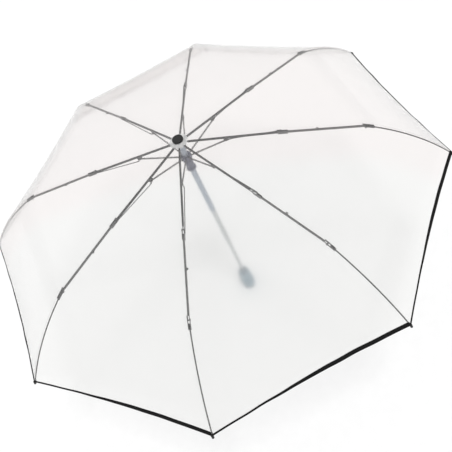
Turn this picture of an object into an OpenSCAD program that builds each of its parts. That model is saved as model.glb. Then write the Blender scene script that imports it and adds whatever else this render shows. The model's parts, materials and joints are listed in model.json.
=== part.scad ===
// Compact folding umbrella, open: three-part telescopic shaft, eight three-part ribs, clear film canopy.
// Origin at the middle of the handle's flat base. +Z runs up the shaft to the cap.
// Each rib is drawn in its own plane: +X outward, +Z up, Y across the rib.

/* [Ribs] */
// Number of ribs
rib_count = 8; // [8:1:8]
// Radius of the ring that the ribs hang on
crown_ring_r = 9; // [8.5:0.1:9.5]
// Inner rib, crown ring to knuckle
inner_l = 175.1; // [165:0.1:185]
// Downward slope of the inner rib, degrees
inner_slope = 9.5; // [8:0.1:11]
// Middle rib, knuckle to clamp
middle_l = 160.9; // [150:0.1:170]
// Downward slope of the middle rib, degrees
middle_slope = 11.6; // [10:0.1:14]
// Outer rib, clamp to tip, along its chord
outer_l = 195.3; // [185:0.1:205]
// Downward slope of the outer rib's chord, degrees
outer_slope = 39.7; // [35:0.1:44]
// Total bend of the outer wire from clamp to tip, degrees
outer_bend = 26; // [20:1:34]
// Width of the rolled steel channels
channel_w = 3.2; // [3:0.1:3.6]
// Height of the rolled steel channels
channel_h = 3; // [2.6:0.1:3.2]
// Diameter of the outer wire
wire_d = 2.4; // [2:0.1:2.8]

/* [Linkage] */
// Crown ring to stretcher pin, along the inner rib
pin_along = 78.6; // [74:0.2:84]
// Stretcher pin below the inner rib's centre line
pin_drop = 6.5; // [6:0.1:7]
// Radius of the crank that drives the push rod
crank_r = 5; // [4.6:0.1:5.4]
// Hinge pin diameter
pin_d = 1.5; // [1.3:0.1:1.7]
// Running clearance of every hinge pin, on the radius
pin_gap = 0.06; // [0.03:0.01:0.09]
// Knuckle pin above the inner rib's centre line
knuckle_rise = 2.4; // [2.2:0.1:2.6]
// Clamp pin below the middle rib's centre line
clamp_drop = 2.4; // [2.2:0.1:2.6]

/* [Shaft] */
// Height of the crown ring above the handle's base
crown_h = 530; // [520:1:560]
// Outer diameter of the top tube
top_d = 11.5; // [11.5:0.1:11.8]
// Outer diameter of the middle tube
middle_d = 9.5; // [9.4:0.1:9.5]
// Outer diameter of the bottom tube
bottom_d = 7.7; // [7.6:0.1:7.7]
// Radial clearance between two tubes
tube_gap = 0.06; // [0.03:0.01:0.09]
// Lower end of the top tube, below the crown ring
top_end = 214; // [210:1:218]
// Lower end of the middle tube, below the crown ring
middle_end = 334; // [330:1:338]
// Overlap of two tubes when drawn out
tube_overlap = 16; // [15:1:20]

/* [Handle] */
// Height of the handle from its base to its collar
handle_h = 66; // [62:1:70]
// Largest diameter of the handle
handle_d = 31; // [30:0.5:32]

/* [Canopy] */
// Film above the rib centre lines
film_rise = 5; // [4.9:0.1:5.3]
// Film above the outer wire at the tip
film_tip_rise = 2.7; // [2.6:0.1:3]
// Thickness of the film
film_t = 0.3; // [0.2:0.05:0.4]
// Width of the hem binding
hem_w = 8; // [5:0.5:10]
// Inward sag of the film halfway between two ribs at the hem
hem_sag = 6; // [0:0.5:12]
// Length of the tip beyond the film
tip_out = 6; // [5:0.5:7]

/* [Hidden] */
$fn = 32;
sector = 360 / rib_count;
ring_wire_d = 1.2;
half_w = channel_w / 2;
wall = 0.45;
blade_w = channel_w - 2 * wall - 0.2;
plate_t = 0.5;
plate_gap = 0.15;
plate_y = half_w + plate_gap;
rod_d = 1.6;
rod_y = plate_y + plate_t + 0.3;
pin_out = 0.15;
crank_turn = 20;
lever_turn = 32;

// Points in the rib plane, as [out, up] with the crown ring at height 0.
function step(p, l, slope) = [p[0] + l * cos(slope), p[1] - l * sin(slope)];
function off(p, rise, slope) = [p[0] + rise * sin(slope), p[1] + rise * cos(slope)];
crown_p = [crown_ring_r, 0];
knuckle_c = step(crown_p, inner_l, inner_slope);
clamp_c = step(knuckle_c, middle_l, middle_slope);
tip_c = step(clamp_c, outer_l, outer_slope);
stretcher_p = off(step(crown_p, pin_along, inner_slope), -pin_drop, inner_slope);
knuckle_p = off(knuckle_c, knuckle_rise, inner_slope);
clamp_p = off(clamp_c, -clamp_drop, middle_slope);

// The stretcher is as long as the crown ring to its pin, so the runner travels straight.
stretcher_angle = atan2(-stretcher_p[1], stretcher_p[0] - crown_ring_r);
stretcher_l = norm(stretcher_p - crown_p);
runner_drop = 2 * stretcher_l * sin(stretcher_angle);
runner_p = [crown_ring_r, -runner_drop];

// The push rod joins two equal cranks, one on the stretcher and one on the middle rib.
crank_angle = inner_slope + crank_turn;
crank_p = step(stretcher_p, crank_r, crank_angle);
lever_angle = inner_slope + lever_turn;
lever_p = step(knuckle_p, crank_r, lever_angle);
rod_end_p = step(knuckle_p, crank_r, crank_angle);
rod_l = norm(rod_end_p - crank_p);
rod_slope = atan2(crank_p[1] - rod_end_p[1], rod_end_p[0] - crank_p[0]);

// The outer wire is an arc through the clamp and the tip.
arc_r = outer_l / (2 * sin(outer_bend / 2));
outer_start_slope = outer_slope - outer_bend / 2;

RIBS = [for (i = [1 : rib_count]) i];
function names(stem) = [for (i = RIBS) str(stem, "_", i)];

// Places a rib-plane drawing at rib i, at the height of the crown ring.
module at_rib(i) { translate([0, 0, crown_h]) rotate([0, 0, (i - 1) * sector]) children(); }

// Places children at a rib-plane point, with +X along the given downward slope.
module at_point(p, slope = 0) { translate([p[0], 0, p[1]]) rotate([0, slope, 0]) children(); }

// A round bar across the rib from y0 to y1.
module cross_bar(d, y0, y1) { translate([0, y1, 0]) rotate([90, 0, 0]) cylinder(d = d, h = y1 - y0); }

// A flat bar in the rib plane from x0 to x1 and z0 to z1, between y0 and y1.
module bar(x0, x1, y0, y1, z0, z1) { translate([x0, y0, z0]) cube([x1 - x0, y1 - y0, z1 - z0]); }

// Rolled channel, open below, along +X.
module channel(x0, x1, w = channel_w, h = channel_h) {
    difference() {
        bar(x0, x1, -w / 2, w / 2, -h / 2, h / 2);
        bar(x0 - 1, x1 + 1, -w / 2 + wall, w / 2 - wall, -h, h / 2 - wall);
    }
}

// Inner rib: channel with an eye for the crown ring and two cheeks for the stretcher pin.
module inner_rib(i) {
    eye_l = 7;
    cheek_l = 9;
    end_gap = 7;
    color("darkgray") at_rib(i) difference() {
        union() {
            at_point(crown_p, inner_slope) {
                channel(eye_l, inner_l - end_gap);
                bar(0, eye_l + 4, -blade_w / 2, blade_w / 2, -1, 1.2);
                cross_bar(3.2, -blade_w / 2, blade_w / 2);
                for (side = [-1, 1]) {
                    inside = side > 0 ? half_w - wall : -half_w;
                    bar(pin_along - cheek_l / 2, pin_along + cheek_l / 2, inside, inside + wall,
                        -pin_drop, -channel_h / 2 + 0.2);
                    translate([pin_along, 0, -pin_drop]) cross_bar(3.6, inside, inside + wall);
                    bar(inner_l - 14, inner_l, inside, inside + wall, -channel_h / 2, channel_h / 2);
                    translate([inner_l, 0, knuckle_rise]) cross_bar(3.4, inside, inside + wall);
                    bar(inner_l - 1.4, inner_l + 1.4, inside, inside + wall, -channel_h / 2, knuckle_rise);
                }
            }
        }
        at_point(crown_p) rotate([90, 0, 0]) cylinder(d = ring_wire_d + 0.5, h = 9, center = true);
        at_point(stretcher_p) rotate([90, 0, 0]) cylinder(d = pin_d + 2 * pin_gap, h = 9, center = true);
        at_point(knuckle_p) rotate([90, 0, 0]) cylinder(d = pin_d + 2 * pin_gap, h = 9, center = true);
    }
}

// Stretcher: flat blade from the runner ring to its pin, with the pin and the crank for the push rod.
module stretcher(i) {
    color("darkgray") at_rib(i) {
        difference() {
            at_point(runner_p, -stretcher_angle) union() {
                bar(0, stretcher_l, -blade_w / 2, blade_w / 2, -1.1, 1.1);
                cross_bar(3.2, -blade_w / 2, blade_w / 2);
                translate([stretcher_l, 0, 0]) cross_bar(3.2, -blade_w / 2, blade_w / 2);
            }
            at_point(runner_p) rotate([90, 0, 0])
                cylinder(d = ring_wire_d + 0.5, h = 9, center = true);
        }
        at_point(stretcher_p) cross_bar(pin_d, -half_w - 0.5, plate_y + plate_t);
        at_point(stretcher_p) cross_bar(2.6, -half_w - 0.7, -half_w - plate_gap);
        at_point(stretcher_p, crank_angle) {
            bar(0, crank_r, plate_y, plate_y + plate_t, -1, 1);
            cross_bar(3, plate_y, plate_y + plate_t);
            translate([crank_r, 0, 0]) cross_bar(2.4, plate_y, plate_y + plate_t);
        }
        at_point(crank_p) cross_bar(1.2, plate_y, rod_y + rod_d / 2 + 0.4);
    }
}

// Push rod: thin rod beside the inner rib, with a round eye and a slotted far eye.
module push_rod(i) {
    eye_t = 0.8;
    far_bore_d = 4;
    color("lightgray") at_rib(i) difference() {
        at_point(crank_p, rod_slope) union() {
            cross_bar(2.6, rod_y, rod_y + eye_t);
            bar(0, 4, rod_y, rod_y + eye_t, -0.8, 0.8);
            translate([2.4, rod_y + rod_d / 2, 0]) rotate([0, 90, 0]) cylinder(d = rod_d, h = rod_l - 6);
            bar(rod_l - 6, rod_l - 1, rod_y, rod_y + eye_t, -0.8, 0.8);
            translate([rod_l, 0, 0]) cross_bar(far_bore_d + 1.4, rod_y, rod_y + eye_t);
        }
        at_point(crank_p) cross_bar(1.2 + 2 * pin_gap, rod_y - 1, rod_y + 3);
        at_point(rod_end_p) cross_bar(far_bore_d, rod_y - 1, rod_y + 3);
    }
}

// Middle rib: channel with two knuckle plates, the knuckle pin, a lever and a film tie.
module middle_rib(i) {
    start = 7;
    end_gap = 6;
    plate_l = 18;
    plate_drop = 3.2;
    tie_x = middle_l * 0.45;
    tie_out = half_w + 3.2;
    color("darkgray") at_rib(i) difference() {
        union() {
            at_point(knuckle_c, middle_slope) {
                channel(start, middle_l - end_gap);
                for (side = [-1, 1]) {
                    inner = side > 0 ? plate_y : -plate_y - plate_t;
                    bar(0, plate_l, inner, inner + plate_t, -plate_drop, knuckle_rise + 0.6);
                    bar(start + 1, plate_l - 1, side > 0 ? 0.2 : inner + 0.1,
                        side > 0 ? inner + plate_t - 0.1 : -0.2, -1.2, 1.3);
                    inside = side > 0 ? half_w - wall : -half_w;
                    bar(middle_l - 12, middle_l, inside, inside + wall, -channel_h / 2, channel_h / 2);
                    bar(middle_l - 1.4, middle_l + 1.4, inside, inside + wall, -clamp_drop, channel_h / 2);
                    translate([middle_l, 0, -clamp_drop]) cross_bar(3.4, inside, inside + wall);
                }
                translate([tie_x, 0, 0]) {
                    bar(-3, 3, half_w - 0.2, half_w + 0.5, -1.2, 1);
                    bar(-2, 2, half_w + 0.3, tie_out, -0.3, 0.7);
                }
            }
            at_point(knuckle_p) {
                cross_bar(pin_d, -plate_y - plate_t - pin_out, plate_y + plate_t + pin_out);
                cross_bar(3.8, -plate_y - plate_t, -plate_y);
                cross_bar(3.8, plate_y, plate_y + plate_t);
            }
            at_point(knuckle_p, lever_angle) bar(0, crank_r, plate_y, plate_y + plate_t, -1, 1);
            at_point(lever_p) {
                cross_bar(2.6, plate_y, plate_y + plate_t);
                cross_bar(1.2, plate_y, rod_y + rod_d / 2 + 0.4);
            }
        }
        at_point(clamp_p) rotate([90, 0, 0]) cylinder(d = pin_d + 2 * pin_gap, h = 9, center = true);
    }
}

// Outer rib: clamp with its pin, the bent spring wire, and the tip that holds the film's corner.
module outer_rib(i) {
    clamp_l = 17;
    tail_l = 7;
    grip_start = 4.5;
    tip_l = 10;
    at_rib(i) {
        color("dimgray") {
            at_point(clamp_p) cross_bar(pin_d, -plate_y - plate_t - pin_out, plate_y + plate_t + pin_out);
            at_point(clamp_c, outer_start_slope) for (side = [-1, 1]) {
                inner = side > 0 ? plate_y : -plate_y - plate_t;
                difference() {
                    union() {
                        bar(0, clamp_l, inner, inner + plate_t, -1.6, 1.6);
                        bar(-1.7, 1.7, inner, inner + plate_t, -clamp_drop, 1.2);
                        bar(-tail_l, clamp_l, inner, inner + plate_t, 0.5, 2.4);
                    }
                    for (low = [[clamp_l - 4, 4.2], [clamp_l - 3, -4]])
                        translate([low[0], inner - 1, low[1]]) rotate([0, 45, 0]) cube([6, plate_t + 2, 6]);
                }
            }
            at_point(clamp_p) for (y = [-plate_y - plate_t, plate_y]) cross_bar(3.8, y, y + plate_t);
            difference() {
                at_point(clamp_c, outer_start_slope)
                    bar(grip_start + 1.6, clamp_l - 1.6, -plate_y - 0.05, plate_y + 0.05, -1.5, 1.5);
                outer_wire(wire_d + 0.1, 2, 0);
            }
        }
        color("gray") outer_wire(wire_d, grip_start + 2, 0.3);
        color("black") difference() {
            at_point(tip_c, outer_slope + outer_bend / 2) {
                translate([-tip_l + tip_out, 0, 0]) rotate([0, 90, 0]) cylinder(d = 4.2, h = tip_l - 2);
                translate([tip_out - 2, 0, 0]) sphere(d = 4.8);
            }
            outer_wire(wire_d + 0.1, 150, 0);
        }
    }
}

// Bent spring wire of a given diameter, from a distance along the arc to a little short of the tip.
module outer_wire(d, from, short) {
    cut = 2 * asin(from / (2 * arc_r));
    tip_cut = 2 * asin(short / (2 * arc_r));
    at_point(clamp_c, outer_start_slope) translate([0, 0, -arc_r])
        rotate([90, 0, 0]) rotate([0, 0, 90 - outer_bend + tip_cut])
        rotate_extrude(angle = outer_bend - cut - tip_cut, $fn = 360)
        translate([arc_r, 0]) circle(d = d, $fn = 20);
}

// Crown: ribbed plastic star with a slot for each rib and a groove for the ring.
module crown() {
    body_r = 11;
    color("whitesmoke") translate([0, 0, crown_h]) difference() {
        union() {
            translate([0, 0, -5]) cylinder(r = body_r, h = 9.5);
            translate([0, 0, -8]) cylinder(r = 8, h = 4);
            translate([0, 0, 4]) cylinder(r = 2.6, h = 3);
        }
        for (i = RIBS) rotate([0, 0, (i - 1) * sector])
            bar(6.6, body_r + 2, -half_w - 0.25, half_w + 0.25, -9, 3.2);
        rotate_extrude() translate([crown_ring_r, 0]) circle(d = ring_wire_d + 0.04, $fn = 20);
        translate([0, 0, -9]) cylinder(d = top_d + 0.04, h = 9.4);
        translate([0, 0, -1]) cylinder(d = 3, h = 12);
    }
}

module crown_ring() {
    color("silver") translate([0, 0, crown_h])
        rotate_extrude() translate([crown_ring_r, 0]) circle(d = ring_wire_d, $fn = 20);
}

// Cap: low dome with a rounded edge that screws into the crown over the film.
module top_cap() {
    cap_r = 10.6;
    color("black") translate([0, 0, crown_h + 8.2]) {
        rotate_extrude() intersection() {
            translate([0, -0.5]) union() {
                square([cap_r - 1.5, 5]);
                square([cap_r, 3]);
                translate([cap_r - 1.5, 3]) circle(r = 1.5);
            }
            square([cap_r + 1, 9]);
        }
        translate([0, 0, -9]) cylinder(d = 2.9, h = 9.5);
    }
}

module cap_washer() {
    color("dimgray") translate([0, 0, crown_h + 7.75]) difference() {
        cylinder(r = 8.6, h = 0.4);
        translate([0, 0, -1]) cylinder(d = 3.1, h = 3);
    }
}

// Clear reinforcement disc, a shallow cone that lies on the film round the cap.
module canopy_disc() {
    rim_r = 18;
    eye_r = 1.55;
    low = 0.15;
    high = 0.4;
    top = top_film_line(eye_r);
    rim = top_film_line(rim_r);
    color("white") translate([0, 0, crown_h]) rotate_extrude($fn = 64)
        polygon([[eye_r, top + low], [rim_r, rim + low], [rim_r, rim + high], [eye_r, top + high]]);
}

// Telescopic tubes. Each one slides inside the tube above it.
module tube(d, bore, z0, z1) {
    translate([0, 0, z0]) difference() {
        cylinder(d = d, h = z1 - z0, $fn = 48);
        translate([0, 0, -1]) cylinder(d = bore, h = z1 - z0 + 2, $fn = 48);
    }
}

lock_d = 4;
lock_depth = 8;
upper_lock_z = crown_h - top_end + lock_depth;
lower_lock_z = crown_h - middle_end + lock_depth;

module tube_top() {
    color("lightgray") difference() {
        tube(top_d, middle_d + 2 * tube_gap, crown_h - top_end, crown_h);
        translate([0, 0, upper_lock_z]) rotate([0, 90, 0]) cylinder(d = lock_d + 0.6, h = 20);
    }
}

module tube_middle() {
    color("silver") difference() {
        tube(middle_d, bottom_d + 2 * tube_gap, crown_h - middle_end, crown_h - top_end + tube_overlap);
        translate([0, 0, upper_lock_z]) rotate([0, 90, 0]) cylinder(d = lock_d + 0.2, h = 20);
        translate([0, 0, lower_lock_z]) rotate([0, 90, 0]) cylinder(d = lock_d + 0.6, h = 20);
    }
}

module tube_bottom() {
    color("silver") difference() {
        tube(bottom_d, bottom_d - 1.4, 6, crown_h - middle_end + tube_overlap);
        translate([0, 0, lower_lock_z]) rotate([0, 90, 0]) cylinder(d = lock_d + 0.2, h = 20);
    }
}

// Lock button: round nose in the wall of the inner tube, on a short leaf inside it.
module lock_button(z, tube_d, inner_r) {
    color("gainsboro") translate([0, 0, z]) intersection() {
        translate([inner_r - 1.2, 0, 0]) rotate([0, 90, 0]) cylinder(d = lock_d, h = 8);
        translate([0, 0, -6]) cylinder(d = tube_d, h = 12, $fn = 48);
    }
}

module lock_button_upper() { lock_button(upper_lock_z, middle_d, bottom_d / 2); }
module lock_button_lower() { lock_button(lower_lock_z, bottom_d, bottom_d / 2 - 0.7); }

// Runner: collar that slides on the top tube and carries the stretchers.
runner_bore_d = top_d + 0.12;
button_z = crown_h - runner_drop - 22;
module runner() {
    color("lightslategray") translate([0, 0, crown_h - runner_drop]) difference() {
        union() {
            translate([0, 0, -4.5]) cylinder(r = 11, h = 8.5);
            translate([0, 0, -34]) cylinder(r = 8.2, h = 31);
            translate([0, 0, -34]) cylinder(r = 9.8, h = 3);
            translate([0, 0, -11]) cylinder(r = 9.2, h = 2.4);
        }
        for (i = RIBS) rotate([0, 0, (i - 1) * sector])
            bar(6.9, 14, -half_w + 0.3, half_w - 0.3, -2.6, 9);
        rotate_extrude() translate([crown_ring_r, 0]) circle(d = ring_wire_d + 0.04, $fn = 20);
        translate([0, 0, -40]) cylinder(d = runner_bore_d, h = 60, $fn = 48);
        translate([0, 0, button_z - (crown_h - runner_drop)]) rotate([0, 0, sector / 2])
            translate([0, -3.2, -5.2]) cube([20, 6.4, 10.4]);
    }
}

module runner_ring() {
    color("silver") translate([0, 0, crown_h - runner_drop])
        rotate_extrude() translate([crown_ring_r, 0]) circle(d = ring_wire_d, $fn = 20);
}

// Press button in the runner's window. Its face stands proud of the collar.
module runner_button() {
    color("slategray") translate([0, 0, button_z]) rotate([0, 0, sector / 2]) intersection() {
        translate([7.6, -3, -5]) cube([3, 6, 10]);
        translate([0, 0, -6]) cylinder(r = 9.9, h = 12, $fn = 48);
    }
}

// Handle: soft rounded grip, a collar on top and a flat base cap.
module handle_body() {
    grip_r = handle_d / 2;
    base_h = 5;
    collar_h = 7;
    top = handle_h - collar_h;
    color("lightsteelblue") difference() {
        rotate_extrude($fn = 64) difference() {
            union() {
                translate([0, base_h]) square([grip_r - 2.6, 6]);
                translate([0, base_h + 4]) square([grip_r - 1.6, top - base_h - 9]);
                translate([grip_r - 20, base_h + 20]) intersection() {
                    circle(r = 20, $fn = 96);
                    translate([0, -14]) square([20, 30]);
                }
                translate([0, top - 8]) square([grip_r - 4.2, 8]);
                translate([grip_r - 5.4, top - 5]) circle(r = 3.8);
            }
            translate([-30, -1]) square([30, 90]);
            translate([-1, top]) square([40, 20]);
        }
        translate([0, 0, base_h - 1]) cylinder(d = bottom_d + 0.02, h = 90, $fn = 48);
        for (k = [0 : 11]) rotate([0, 0, k * 30])
            translate([grip_r + 0.9, 0, base_h + 6]) cylinder(r = 1.6, h = top - base_h - 16);
    }
}

module handle_collar() {
    color("slategray") difference() {
        translate([0, 0, handle_h - 7]) rotate_extrude($fn = 64) union() {
            square([11.4, 5]);
            square([9.4, 7]);
            translate([9.4, 5]) circle(r = 2);
        }
        translate([0, 0, handle_h - 9]) cylinder(d = bottom_d + 0.02, h = 20, $fn = 48);
    }
}

module handle_base() {
    color("slategray") rotate_extrude($fn = 64) difference() {
        union() {
            square([handle_d / 2 - 4, 5]);
            translate([0, 1.5]) square([handle_d / 2 - 2.4, 3.5]);
            translate([handle_d / 2 - 4, 1.6]) circle(r = 1.6);
        }
        translate([-20, -1]) square([20, 9]);
    }
}

// Film canopy. Between two ribs the film is stretched straight across, with a little sag.
inner_steps = 5;
middle_steps = 4;
outer_steps = 5;
along_steps = inner_steps + middle_steps + outer_steps;
across_steps = 4;
collar_r = 3;
collar_z = 7;
shoulder = 1 / inner_steps;
function smooth(t) = t * t * (3 - 2 * t);
function on_arc(t) = let(a = outer_bend * t, s = outer_start_slope)
    [clamp_c[0] + arc_r * (sin(s + a) - sin(s)), clamp_c[1] - arc_r * (cos(s) - cos(s + a))];
// Film line over one rib, at share t of the way from the crown to the hem.
function inner_film(t) = let(
        top = [collar_r, collar_z],
        p = off(crown_p, film_rise, inner_slope),
        q = off(knuckle_c, film_rise, (inner_slope + middle_slope) / 2))
    t < shoulder ? top + (p + (q - p) * shoulder - top) * (t / shoulder) : p + (q - p) * t;
// Height of the film's line over a rib, close to the cap.
function top_film_line(r) = let(a = inner_film(0), b = inner_film(shoulder))
    a[1] + (b[1] - a[1]) * (r - a[0]) / (b[0] - a[0]);
function middle_film(t) = let(
        p = off(knuckle_c, film_rise, (inner_slope + middle_slope) / 2),
        q = off(clamp_c, film_rise, (middle_slope + outer_start_slope) / 2)) p + (q - p) * t;
function outer_film(t) = off(on_arc(t), film_rise + (film_tip_rise - film_rise) * smooth(t),
    outer_start_slope + outer_bend * t);
function film_line(k) = let(m = k - inner_steps, n = m - middle_steps)
    m <= 0 ? inner_film(k / inner_steps)
    : n <= 0 ? middle_film(m / middle_steps) : outer_film(n / outer_steps);
function rib_line(k, depth) = let(p = film_line(k), q = film_line(k + 0.01), d = q - p)
    p - depth * [-d[1], d[0]] / norm(d);

// Point of the sheet at station k, share u across sector n, and a depth under its top face.
function sheet_point(k, n, u, depth) = let(
        p = rib_line(min(k, along_steps - 0.02), depth),
        a = sector * n,
        b = sector * (n + 1),
        x = p[0] * ((1 - u) * cos(a) + u * cos(b)),
        y = p[0] * ((1 - u) * sin(a) + u * sin(b)),
        sag = 4 * u * (1 - u),
        pull = 1 - sag * hem_sag / p[0] * pow(min(k, along_steps) / along_steps, 2))
    [x * pull, y * pull, crown_h + p[1]];

// Closed sheet between stations k0 and k1, from depth d0 down to depth d1.
module sheet(k0, k1, steps, d0, d1) {
    ring = rib_count * across_steps;
    function at(j, c, depth) = sheet_point(k0 + (k1 - k0) * j / steps, floor(c / across_steps),
        (c % across_steps) / across_steps, depth);
    points = concat(
        [for (j = [0 : steps]) for (c = [0 : ring - 1]) at(j, c, d0)],
        [for (j = [0 : steps]) for (c = [0 : ring - 1]) at(j, c, d1)]);
    function top_i(j, c) = j * ring + c % ring;
    function low_i(j, c) = (steps + 1) * ring + j * ring + c % ring;
    faces = concat(
        [for (j = [0 : steps - 1]) for (c = [0 : ring - 1])
            [top_i(j, c), top_i(j, c + 1), top_i(j + 1, c + 1), top_i(j + 1, c)]],
        [for (j = [0 : steps - 1]) for (c = [0 : ring - 1])
            [low_i(j, c), low_i(j + 1, c), low_i(j + 1, c + 1), low_i(j, c + 1)]],
        [for (c = [0 : ring - 1]) [top_i(0, c), low_i(0, c), low_i(0, c + 1), top_i(0, c + 1)]],
        [for (c = [0 : ring - 1])
            [top_i(steps, c), top_i(steps, c + 1), low_i(steps, c + 1), low_i(steps, c)]]);
    polyhedron(points, faces);
}

module canopy() { color([0.9, 0.92, 0.93, 0.5]) sheet(0, along_steps, along_steps, 0, film_t); }

hem_share = hem_w / outer_l * outer_steps;
module hem_binding() {
    color("black") sheet(along_steps - hem_share, along_steps, 2, -0.35, -0.05);
}

handle_body();
handle_collar();
handle_base();
tube_bottom();
lock_button_lower();
tube_middle();
lock_button_upper();
tube_top();
crown();
crown_ring();
top_cap();
cap_washer();
canopy_disc();
runner();
runner_ring();
runner_button();
canopy();
hem_binding();
for (i = RIBS) {
    inner_rib(i);
    stretcher(i);
    push_rod(i);
    middle_rib(i);
    outer_rib(i);
}
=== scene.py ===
"""Folding umbrella: film canopy, hem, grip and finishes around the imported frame. Metres, +Z up the shaft."""
import json
import math

import bpy
import numpy as np
from mathutils import Matrix, Vector


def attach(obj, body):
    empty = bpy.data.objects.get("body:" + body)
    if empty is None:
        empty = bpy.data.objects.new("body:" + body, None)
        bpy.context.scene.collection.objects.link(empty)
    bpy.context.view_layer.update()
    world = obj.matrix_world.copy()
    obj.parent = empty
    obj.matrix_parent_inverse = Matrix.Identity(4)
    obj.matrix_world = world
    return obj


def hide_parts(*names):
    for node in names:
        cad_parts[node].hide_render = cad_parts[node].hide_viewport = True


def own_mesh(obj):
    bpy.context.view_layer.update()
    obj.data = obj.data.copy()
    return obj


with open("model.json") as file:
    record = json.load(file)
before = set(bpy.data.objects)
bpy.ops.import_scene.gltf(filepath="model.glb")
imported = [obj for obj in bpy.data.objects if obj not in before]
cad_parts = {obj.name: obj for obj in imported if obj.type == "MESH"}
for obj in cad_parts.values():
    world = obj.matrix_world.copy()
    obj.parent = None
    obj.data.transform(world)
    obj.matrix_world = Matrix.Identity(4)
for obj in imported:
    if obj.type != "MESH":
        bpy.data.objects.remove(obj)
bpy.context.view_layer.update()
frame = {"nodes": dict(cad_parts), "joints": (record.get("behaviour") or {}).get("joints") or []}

RIBS = range(1, 9)
SECTOR = math.radians(45)
HALF_TAN = math.tan(SECTOR / 2)
JOINTS = {j["name"]: j for j in frame["joints"]}

# Rib line, in metres and as the frame's own design has it
INNER_SLOPE = math.radians(9.5)
MIDDLE_SLOPE = math.radians(11.6)
OUTER_SLOPE = math.radians(39.7)
OUTER_BEND = math.radians(26)
OUTER_CHORD = 0.1953
KNUCKLE_RISE = 0.0024   # the knuckle's pin above the rib's middle
CLAMP_DROP = 0.0024     # the clamp's pin below it

# Film, hem and beads
FILM_RISE = 0.005       # over the rib's middle
FILM_TIP_RISE = 0.0027
FILM_THICKNESS = 0.0002
COLLAR_R = 0.003        # the film's hole under the cap
COLLAR_Z = 0.0070
CROWN_SHARE = 0.2       # share of the inner rib where the film comes down to it
BEAD_R = 0.0025
BEAD_SINK = 0.0011      # the bead's centre, under the film's corner
HEM_SAG = 0.006         # how far each gore's edge curves in between its tips
HEM_WIDTH = 0.008       # each side of the fold
HEM_THIN = 0.42         # share of the width where the tape starts
HEM_THIN_TO, HEM_WIDE_FROM = 0.14, 0.72  # shares of the gore's edge
HEM_OVER, HEM_UNDER = 0.00035, -0.00055  # the tape's two sides, off the film
HEM_STEPS = 33
TAPE_THICKNESS = 0.00025
INNER_KEEP, MIDDLE_KEEP, OUTER_KEEP = 0.12, 0.08, 0.08  # share of a half gore's spread left when folded
WRINKLE = 0.0011        # height of the small folds near the tips
WRINKLE_REACH = 0.07    # how far they run in from the tips
WRINKLE_ACROSS, WRINKLE_ALONG = 16, 30  # how fast they repeat


# ---------------------------------------------------------------- camera, light, floor
CROWN_Z = JOINTS["fold"]["pos_m"][2]
CAMERA_PLACE = (-0.8516, -0.3090, 0.8429)  # from the crown ring's centre
VIEW_AZIMUTH, VIEW_DOWN, VIEW_ROLL = (math.radians(a) for a in (19.33, 51.19, -26.18))
CAMERA_LENS = 52.35
AMBIENT = 0.72
BACKDROP = 1.0          # how bright the room looks straight to the camera
SUN_POWER = 1.32
SUN_SPREAD = math.radians(12)
SUN_AZIMUTH, SUN_DOWN = math.radians(42), math.radians(70.5)
FLOOR_SIZE = 40
FLOOR_GAP = 0.0005      # under the grip's base


def add_camera():
    camera = bpy.data.objects.new("camera", bpy.data.cameras.new("camera"))
    bpy.context.collection.objects.link(camera)
    view = Vector((math.cos(VIEW_DOWN) * math.cos(VIEW_AZIMUTH),
                   math.cos(VIEW_DOWN) * math.sin(VIEW_AZIMUTH), -math.sin(VIEW_DOWN)))
    level = view.cross(Vector((0, 0, 1))).normalized()
    right = Matrix.Rotation(-VIEW_ROLL, 3, view) @ level
    up = right.cross(view)
    turn = Matrix((right, up, -view)).transposed().to_4x4()
    camera.matrix_world = Matrix.Translation(Vector(CAMERA_PLACE) + Vector((0, 0, CROWN_Z))) @ turn
    camera.data.lens = CAMERA_LENS
    camera.data.clip_end = 50
    bpy.context.scene.camera = camera


def add_surroundings():
    world = bpy.data.worlds.new("white_room")
    world.use_nodes = True
    background = world.node_tree.nodes["Background"]
    background.inputs["Color"].default_value = (1, 1, 1, 1)
    path = world.node_tree.nodes.new("ShaderNodeLightPath")
    strength = node(world.node_tree, "ShaderNodeMapRange")
    strength.inputs["To Min"].default_value, strength.inputs["To Max"].default_value = AMBIENT, BACKDROP
    world.node_tree.links.new(path.outputs["Is Camera Ray"], strength.inputs["Value"])
    world.node_tree.links.new(strength.outputs["Result"], background.inputs["Strength"])
    bpy.context.scene.world = world
    bpy.context.scene.view_settings.view_transform = "Standard"
    bpy.ops.mesh.primitive_plane_add(size=FLOOR_SIZE, location=(0, 0, -FLOOR_GAP))
    floor = bpy.context.object
    floor.name = "floor"
    paper = finish("floor_paper", (0.93, 0.93, 0.93), 0.9, grain=0.01, scale=40)
    one_sided(paper)
    floor.data.materials.append(paper)
    light = bpy.data.lights.new("key", "SUN")
    light.energy, light.angle = SUN_POWER, SUN_SPREAD
    sun = bpy.data.objects.new("key", light)
    bpy.context.collection.objects.link(sun)
    shine = Vector((math.cos(SUN_DOWN) * math.cos(SUN_AZIMUTH),
                    math.cos(SUN_DOWN) * math.sin(SUN_AZIMUTH), -math.sin(SUN_DOWN)))
    sun.rotation_euler = shine.to_track_quat("-Z", "Y").to_euler()
    return sun


def keep_glare_off(sun, pieces):
    """The sun still shines through these pieces and makes no highlight on them."""
    group = bpy.data.collections.new("no_glare")
    for piece in pieces:
        group.objects.link(piece)
    for entry in group.collection_objects:
        entry.light_linking.link_state = "EXCLUDE"
    sun.light_linking.receiver_collection = group


# ---------------------------------------------------------------- materials
def new_material(name):
    material = bpy.data.materials.new(name)
    material.use_nodes = True
    tree = material.node_tree
    shader = tree.nodes["Principled BSDF"]
    return material, tree, shader


def node(tree, kind, **sockets):
    made = tree.nodes.new(kind)
    for socket, value in sockets.items():
        made.inputs[socket.replace("_", " ")].default_value = value
    return made


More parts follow.
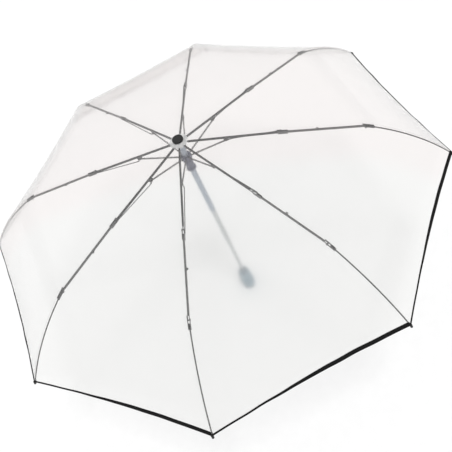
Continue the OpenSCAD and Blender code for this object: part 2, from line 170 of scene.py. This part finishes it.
def one_sided(material):
    """Lets the camera look through a surface from behind."""
    tree = material.node_tree
    side = tree.nodes.new("ShaderNodeNewGeometry")
    clear = tree.nodes.new("ShaderNodeBsdfTransparent")
    out = tree.nodes.new("ShaderNodeMixShader")
    tree.links.new(side.outputs["Backfacing"], out.inputs["Fac"])
    tree.links.new(tree.nodes["Principled BSDF"].outputs[0], out.inputs[1])
    tree.links.new(clear.outputs[0], out.inputs[2])
    tree.links.new(out.outputs[0], tree.nodes["Material Output"].inputs["Surface"])


def finish(name, colour, rough, metal=0.0, grain=0.06, scale=300, bump=0.0, stretch=(1, 1, 1), gloss=0.5,
           coat=0.0):
    """A plain finish whose colour, roughness and surface vary with fine noise, stretched for drawn metal."""
    material, tree, shader = new_material(name)
    shader.inputs["Metallic"].default_value = metal
    shader.inputs["Specular IOR Level"].default_value = gloss
    shader.inputs["Coat Weight"].default_value = coat
    place = tree.nodes.new("ShaderNodeTexCoord")
    mapping = node(tree, "ShaderNodeMapping", Scale=stretch)
    tree.links.new(place.outputs["Object"], mapping.inputs["Vector"])
    noise = node(tree, "ShaderNodeTexNoise", Scale=scale, Detail=4.0)
    tree.links.new(mapping.outputs["Vector"], noise.inputs["Vector"])
    ramp = tree.nodes.new("ShaderNodeValToRGB")
    ramp.color_ramp.elements[0].position = 0.3
    ramp.color_ramp.elements[1].position = 0.7
    ramp.color_ramp.elements[0].color = [max(c * (1 - grain), 0) for c in colour] + [1]
    ramp.color_ramp.elements[1].color = [min(c * (1 + grain), 1) for c in colour] + [1]
    tree.links.new(noise.outputs["Fac"], ramp.inputs["Fac"])
    tree.links.new(ramp.outputs["Color"], shader.inputs["Base Color"])
    spread = node(tree, "ShaderNodeMapRange")
    spread.inputs["To Min"].default_value = max(rough - 0.08, 0.02)
    spread.inputs["To Max"].default_value = min(rough + 0.08, 1.0)
    tree.links.new(noise.outputs["Fac"], spread.inputs["Value"])
    tree.links.new(spread.outputs["Result"], shader.inputs["Roughness"])
    if bump:
        relief = node(tree, "ShaderNodeBump", Strength=bump, Distance=0.0003)
        tree.links.new(noise.outputs["Fac"], relief.inputs["Height"])
        tree.links.new(relief.outputs["Normal"], shader.inputs["Normal"])
    return material


FILM_HAZE, DISC_HAZE = 0.07, 0.35
FILM_ROUGH, DISC_ROUGH = 0.11, 0.12
FILM_LOW_HAZE = 0.18    # added at a flat angle of view
FILM_SHADE = 0.94       # how much light comes through in its shadow
VEIL = (0.93, 0.93, 0.93, 1)
FILM_CLEAR = (0.988, 0.988, 0.978)
# Painted warm light on the film's far side: the film's colour there, and where it fades in along X
FILM_PAINTED_LIGHT = (0.99, 0.957, 0.947)
PAINTED_LIGHT_FROM, PAINTED_LIGHT_TO = -0.10, -0.04  # along X
FILM_IOR = 1.42


def paint_far_side_light(tree, place, shader):
    """Paints warm light into the film's colour: clear on its near side, a little warm on its far side."""
    split = tree.nodes.new("ShaderNodeSeparateXYZ")
    tree.links.new(place.outputs["Object"], split.inputs[0])
    far = node(tree, "ShaderNodeMapRange")
    far.interpolation_type = "SMOOTHSTEP"
    far.inputs["From Min"].default_value, far.inputs["From Max"].default_value = PAINTED_LIGHT_FROM, PAINTED_LIGHT_TO
    tree.links.new(split.outputs["X"], far.inputs["Value"])
    tint = node(tree, "ShaderNodeMixRGB", Color1=(*FILM_CLEAR, 1), Color2=(*FILM_PAINTED_LIGHT, 1))
    tree.links.new(far.outputs["Result"], tint.inputs["Fac"])
    tree.links.new(tint.outputs["Color"], shader.inputs["Base Color"])


def film_material(name, haze, rough, painted_warm_light=False):
    """Frosted clear film: rough clear sheet with a little white haze. Lamps shine straight through it."""
    material, tree, shader = new_material(name)
    shader.inputs["Transmission Weight"].default_value = 1.0
    shader.inputs["IOR"].default_value = FILM_IOR
    shader.inputs["Base Color"].default_value = (*FILM_CLEAR, 1)
    place = tree.nodes.new("ShaderNodeTexCoord")
    # painted warm light on the film's far side
    if painted_warm_light:
        paint_far_side_light(tree, place, shader)
    noise = node(tree, "ShaderNodeTexNoise", Scale=9.0, Detail=3.0)
    tree.links.new(place.outputs["Object"], noise.inputs["Vector"])
    spread = node(tree, "ShaderNodeMapRange")
    spread.inputs["To Min"].default_value = rough * 0.85
    spread.inputs["To Max"].default_value = rough * 1.15
    tree.links.new(noise.outputs["Fac"], spread.inputs["Value"])
    tree.links.new(spread.outputs["Result"], shader.inputs["Roughness"])
    white = node(tree, "ShaderNodeBsdfDiffuse", Color=VEIL)
    veil = node(tree, "ShaderNodeBsdfTranslucent", Color=VEIL)
    both = node(tree, "ShaderNodeMixShader", Fac=0.5)
    tree.links.new(white.outputs[0], both.inputs[1])
    tree.links.new(veil.outputs[0], both.inputs[2])
    hazy = tree.nodes.new("ShaderNodeMixShader")
    facing = node(tree, "ShaderNodeLayerWeight", Blend=0.5)
    veiled = node(tree, "ShaderNodeMapRange")
    veiled.inputs["From Min"].default_value = 0.25
    veiled.inputs["To Min"].default_value, veiled.inputs["To Max"].default_value = haze, haze + FILM_LOW_HAZE
    tree.links.new(facing.outputs["Facing"], veiled.inputs["Value"])
    tree.links.new(veiled.outputs["Result"], hazy.inputs["Fac"])
    tree.links.new(shader.outputs[0], hazy.inputs[1])
    tree.links.new(both.outputs[0], hazy.inputs[2])
    clear = node(tree, "ShaderNodeBsdfTransparent", Color=(FILM_SHADE, FILM_SHADE, FILM_SHADE, 1))
    path = tree.nodes.new("ShaderNodeLightPath")
    out = node(tree, "ShaderNodeMixShader")
    plain = tree.nodes.new("ShaderNodeMath")
    plain.operation = "MAXIMUM"
    tree.links.new(path.outputs["Is Shadow Ray"], plain.inputs[0])
    tree.links.new(path.outputs["Is Diffuse Ray"], plain.inputs[1])
    tree.links.new(plain.outputs[0], out.inputs["Fac"])
    tree.links.new(hazy.outputs[0], out.inputs[1])
    tree.links.new(clear.outputs[0], out.inputs[2])
    tree.links.new(out.outputs[0], tree.nodes["Material Output"].inputs["Surface"])
    return material


# ---------------------------------------------------------------- the film's surface, in one rib's frame
def off(point, rise, slope):
    """A point of the rib's plane, raised square to a line that falls at the slope."""
    return (point[0] + rise * math.sin(slope), point[1] + rise * math.cos(slope))


def hinge(name):
    """A joint's radius, and its height over the crown ring."""
    x, y, z = JOINTS[name]["pos_m"]
    return (math.hypot(x, y), z - CROWN_Z)


CROWN = hinge("fold")
KNUCKLE = hinge("knuckle_1")
CLAMP = hinge("clamp_1")
KNUCKLE_MID = off(KNUCKLE, -KNUCKLE_RISE, INNER_SLOPE)
CLAMP_MID = off(CLAMP, CLAMP_DROP, MIDDLE_SLOPE)
OUTER_START = OUTER_SLOPE - OUTER_BEND / 2
ARC_R = OUTER_CHORD / (2 * math.sin(OUTER_BEND / 2))


def film_line():
    """Points of the film's line over a rib, from the collar to the hem."""
    knuckle = off(KNUCKLE_MID, FILM_RISE, (INNER_SLOPE + MIDDLE_SLOPE) / 2)
    clamp = off(CLAMP_MID, FILM_RISE, (MIDDLE_SLOPE + OUTER_START) / 2)
    start = off(CROWN, FILM_RISE, INNER_SLOPE)
    shoulder = tuple(a + (b - a) * CROWN_SHARE for a, b in zip(start, knuckle))
    line = [(COLLAR_R, COLLAR_Z), shoulder, knuckle, clamp]
    for t in np.linspace(0.08, 1, 24):
        turned = OUTER_BEND * t
        x = CLAMP_MID[0] + ARC_R * (math.sin(OUTER_START + turned) - math.sin(OUTER_START))
        z = CLAMP_MID[1] - ARC_R * (math.cos(OUTER_START) - math.cos(OUTER_START + turned))
        ease = t * t * (3 - 2 * t)
        line.append(off((x, z), FILM_RISE + (FILM_TIP_RISE - FILM_RISE) * ease, OUTER_START + turned))
    return np.array(line)


FINE_STEPS = 2400
EASE_STEPS = 61         # the line's corners are averaged over this many steps
BLEND_LENGTH = 0.02     # the averaging fades out this near to either end
END_STEPS = 20          # how many steps give the line's slope at the hem
TINY = 1e-6
LINE = film_line()
HEM_R = LINE[-1, 0]
FINE_R = np.linspace(COLLAR_R, HEM_R, FINE_STEPS)
FINE_Z = np.interp(FINE_R, LINE[:, 0], LINE[:, 1])
PADDED_Z = np.pad(FINE_Z, EASE_STEPS // 2, mode="edge")
EASED = np.convolve(PADDED_Z, np.ones(EASE_STEPS) / EASE_STEPS, mode="valid")
BLEND_IN = np.clip(np.minimum(FINE_R - COLLAR_R, HEM_R - FINE_R) / BLEND_LENGTH, 0, 1)
FINE_Z = FINE_Z + (EASED - FINE_Z) * BLEND_IN


def height(r):
    """The film line's height over radius r, running straight on beyond the hem."""
    beyond = np.maximum(r - HEM_R, 0)
    end_fall = (FINE_Z[-1] - FINE_Z[-END_STEPS]) / (FINE_R[-1] - FINE_R[-END_STEPS])
    return np.interp(r, FINE_R, FINE_Z) + beyond * end_fall


def wrinkle(r, u):
    """Small radiating folds near each rib tip. u is 0 on the rib and 1 halfway to the next."""
    near_tip = np.exp(-np.maximum(HEM_R - r, 0) / WRINKLE_REACH)
    fan = np.sin(u * math.pi) ** 2
    return near_tip * fan * WRINKLE * np.sin(u * WRINKLE_ACROSS + (HEM_R - r) * WRINKLE_ALONG)


def surface(x, y):
    """The film's point over rib-frame place x, y."""
    r = x + np.abs(y) * HALF_TAN
    u = np.clip(np.abs(y) / np.maximum(x * HALF_TAN, TINY), 0, 1)
    half_chord = np.maximum(r, TINY) * math.sin(SECTOR / 2)
    across = np.clip(np.abs(y) / math.cos(SECTOR / 2) / (2 * half_chord), 0, 0.5)
    pull = 4 * across * (1 - across) * HEM_SAG * (r / HEM_R) ** 2
    shrink = 1 - pull / np.maximum(r, TINY)
    return np.stack([x * shrink, y * shrink, height(r) + wrinkle(r, u)], axis=-1)


def surface_normal(x, y):
    e = 1e-4
    along = surface(x + e, y) - surface(x - e, y)
    across = surface(x, y + e) - surface(x, y - e)
    normal = np.cross(along, across)
    return normal / np.linalg.norm(normal, axis=-1, keepdims=True)


def cut_at(hinge_point, slope, share):
    """Rib-frame x where the film at each share of the gore's half width crosses the hinge's own plane."""
    low, high = np.full_like(share, 0.01), np.full_like(share, 0.6)
    for _ in range(40):
        x = (low + high) / 2
        z = height(x * (1 + share * HALF_TAN ** 2))
        beyond = (x - hinge_point[0]) * math.cos(slope) - (z - hinge_point[1]) * math.sin(slope) > 0
        high, low = np.where(beyond, x, high), np.where(beyond, low, x)
    return (low + high) / 2


ACROSS = np.linspace(0, 1, 9)
COLLAR_X = COLLAR_R / (1 + ACROSS * HALF_TAN ** 2)
KNUCKLE_X = cut_at(KNUCKLE, (INNER_SLOPE + MIDDLE_SLOPE) / 2, ACROSS)
CLAMP_X = cut_at(CLAMP, (MIDDLE_SLOPE + OUTER_SLOPE) / 2, ACROSS)
HEM_X = HEM_R / (1 + ACROSS * HALF_TAN ** 2)
SEGMENTS = {
    "inner": (COLLAR_X, KNUCKLE_X, INNER_SLOPE, KNUCKLE, 18, INNER_KEEP),
    "middle": (KNUCKLE_X, CLAMP_X, MIDDLE_SLOPE, KNUCKLE, 18, MIDDLE_KEEP),
    "outer": (CLAMP_X, HEM_X, OUTER_SLOPE, CLAMP, 22, OUTER_KEEP),
}


def rib_turn(i):
    """From rib 1's frame to rib i's."""
    return Matrix.Rotation((i - 1) * SECTOR, 4, "Z")


def to_world(i, points):
    turn = np.array(rib_turn(i).to_3x3())
    return points.reshape(-1, 3) @ turn.T + np.array([0, 0, CROWN_Z])


def grid_faces(points, flip):
    """Quads over a grid of points."""
    rows, columns = points.shape[:2]
    faces = []
    for a in range(rows - 1):
        for c in range(columns - 1):
            low, high = a * columns + c, (a + 1) * columns + c
            face = (low, high, high + 1, low + 1)
            faces.append(face[::-1] if flip else face)
    return faces


def add_piece(name, vertices, faces, material, body):
    mesh = bpy.data.meshes.new(name)
    mesh.from_pydata([tuple(v) for v in vertices], [], faces)
    mesh.update()
    mesh.shade_smooth()
    piece = bpy.data.objects.new(name, mesh)
    bpy.context.collection.objects.link(piece)
    mesh.materials.append(material)
    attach(piece, body)
    return piece


def gather(piece):
    """Gives a half gore its own copy of its mesh."""
    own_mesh(piece)


def film_points(start, end, steps):
    """Rib-frame places x, y over one half of a gore, between two cuts."""
    share = np.linspace(0, 1, steps + 1)[:, None]
    x = start[None, :] * (1 - share) + end[None, :] * share
    return x, ACROSS[None, :] * x * HALF_TAN


def add_film(material):
    """The canopy: each gore's halves, cut at the hinge planes so that each part folds with its own rib."""
    pieces = []
    for segment, (start, end, slope, pivot, steps, keep) in SEGMENTS.items():
        x, y = film_points(start, end, steps)
        points = surface(x, y)
        for i in RIBS:
            for side, word in ((1, "left"), (-1, "right")):
                sided = points * np.array([1, side, 1])
                piece = add_piece(f"film_{segment}_{i}_{word}", to_world(i, sided),
                                  grid_faces(points, flip=side < 0), material, f"{segment}_{i}")
                sheet = piece.modifiers.new("thickness", "SOLIDIFY")
                sheet.thickness, sheet.offset, sheet.use_rim = FILM_THICKNESS, -1, False
                gather(piece)
                if not pieces:
                    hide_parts("canopy")
                pieces.append(piece)
    return pieces


def hem_points(side):
    """Middle of a tape folded round the film's edge, narrow at one corner of each gore and wide at the other.
    Columns run along the hem from the rib to the middle of the edge."""
    section = [(1, HEM_OVER), (0.15, HEM_OVER), (-0.05, (HEM_OVER + HEM_UNDER) / 2),
               (0.15, HEM_UNDER), (1, HEM_UNDER)]
    share = np.linspace(0, 1, HEM_STEPS)
    along = share / 2 if side > 0 else 1 - share / 2
    grow = np.clip((along - HEM_THIN_TO) / (HEM_WIDE_FROM - HEM_THIN_TO), 0, 1)
    width = HEM_WIDTH * (HEM_THIN + (1 - HEM_THIN) * grow * grow * (3 - 2 * grow))
    plan = math.cos(OUTER_START + OUTER_BEND)
    rows = []
    for back, lift in section:
        x = (HEM_R - back * width * plan) / (1 + share * HALF_TAN ** 2)
        y = share * x * HALF_TAN
        rows.append(surface(x, y) + surface_normal(x, y) * lift)
    return np.array(rows)


def add_hem(material):
    """The black tape, in halves that ride on each outer rib with the outer film they're sewn to."""
    for side, word in ((1, "left"), (-1, "right")):
        rows = hem_points(side)
        for i in RIBS:
            sided = rows * np.array([1, side, 1])
            piece = add_piece(f"hem_{i}_{word}", to_world(i, sided), grid_faces(rows, flip=side < 0),
                              material, f"outer_{i}")
            tape = piece.modifiers.new("thickness", "SOLIDIFY")
            tape.thickness, tape.offset = TAPE_THICKNESS, 0
            gather(piece)
            if i == 1 and side > 0:
                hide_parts("hem_binding")


def add_tip_beads(material):
    """A black bead on each rib tip, over the film's corner."""
    x, z = off(tuple(LINE[-1]), -BEAD_SINK, OUTER_START + OUTER_BEND)
    rings, sides = 10, 20
    turns = np.linspace(0, 2 * math.pi, sides, endpoint=False)
    points = [(x, 0, z + BEAD_R)]
    for level in np.linspace(0, math.pi, rings + 1)[1:-1]:
        wide, high = BEAD_R * math.sin(level), BEAD_R * math.cos(level)
        points += [(x + wide * math.cos(t), wide * math.sin(t), z + high) for t in turns]
    points.append((x, 0, z - BEAD_R))
    last = len(points) - 1
    faces = []
    for k in range(sides):
        after = (k + 1) % sides
        faces.append((0, 1 + k, 1 + after))
        for ring in range(rings - 2):
            low, high = 1 + ring * sides, 1 + (ring + 1) * sides
            faces.append((low + k, high + k, high + after, low + after))
        bottom = 1 + (rings - 2) * sides
        faces.append((last, bottom + after, bottom + k))
    for i in RIBS:
        bead = add_piece(f"tip_bead_{i}", to_world(i, np.array(points)), faces, material, f"outer_{i}")


# ---------------------------------------------------------------- finishes on the frame's own parts
def dress(material, *names):
    """Gives parts of the frame this one material."""
    for name in names:
        part = frame["nodes"][name]
        part.data.materials.clear()
        part.data.materials.append(material)


def each(stem):
    return [f"{stem}_{i}" for i in RIBS]


def add_finishes():
    steel = finish("rib_steel", (0.035, 0.035, 0.035), 0.42, metal=0.85, grain=0.15, scale=240, bump=0.15,
                   coat=0.3)
    plated = finish("plated_steel", (0.09, 0.09, 0.088), 0.4, metal=0.85, grain=0.15, scale=240, bump=0.15,
                    coat=0.6)
    dark = finish("outer_wire", (0.025, 0.025, 0.025), 0.45, metal=0.6, grain=0.15, scale=240, bump=0.15,
                  coat=0.4)
    rod = finish("rod_wire", (0.06, 0.06, 0.06), 0.38, metal=0.85, grain=0.12, scale=240, coat=0.3)
    dress(steel, *each("inner_rib"))
    dress(plated, *each("middle_rib"), *each("stretcher"))
    dress(rod, *each("push_rod"))
    dress(dark, *each("outer_rib"))
    dress(finish("handle_plastic", (0.29, 0.37, 0.42), 0.5, grain=0.04, scale=900, bump=0.25), "handle_body")
    dress(finish("collar_plastic", (0.26, 0.31, 0.35), 0.4, grain=0.04, scale=700, bump=0.1),
          "handle_collar", "handle_base")
    dress(finish("shaft_alloy", (0.50, 0.52, 0.53), 0.3, metal=0.9, grain=0.06, scale=60,
                 stretch=(12, 12, 0.4)), "tube_middle", "tube_bottom")
    dress(finish("top_tube_paint", (0.36, 0.40, 0.46), 0.35, metal=0.7, grain=0.06, scale=60,
                 stretch=(12, 12, 0.4)), "tube_top")
    dress(finish("lock_steel", (0.6, 0.6, 0.62), 0.25, metal=1.0, grain=0.05, scale=300),
          "lock_button_lower", "lock_button_upper", "crown_ring", "runner_ring")
    dress(finish("crown_plastic", (0.74, 0.75, 0.75), 0.5, grain=0.04, scale=500, bump=0.1), "crown")
    dress(finish("cap_plastic", (0.012, 0.012, 0.012), 0.6, grain=0.4, scale=900, bump=0.5), "top_cap")
    dress(finish("washer_rubber", (0.10, 0.10, 0.10), 0.8, grain=0.1, scale=500, bump=0.2), "cap_washer")
    dress(film_material("clear_disc", DISC_HAZE, DISC_ROUGH), "canopy_disc")
    dress(finish("runner_plastic", (0.10, 0.105, 0.155), 0.45, grain=0.08, scale=600, bump=0.15), "runner")
    dress(finish("button_plastic", (0.14, 0.15, 0.2), 0.35, grain=0.06, scale=600), "runner_button")


add_camera()
key = add_surroundings()
add_finishes()
# the canopy film has painted warm light on its far side
keep_glare_off(key, add_film(film_material("film", FILM_HAZE, FILM_ROUGH, painted_warm_light=True)))
add_tip_beads(finish("tip_plastic", (0.012, 0.012, 0.012), 0.5, grain=0.3, scale=700, gloss=0.3))
add_hem(finish("hem_fabric", (0.007, 0.007, 0.007), 0.85, grain=0.5, scale=1400, bump=0.6, gloss=0.15))
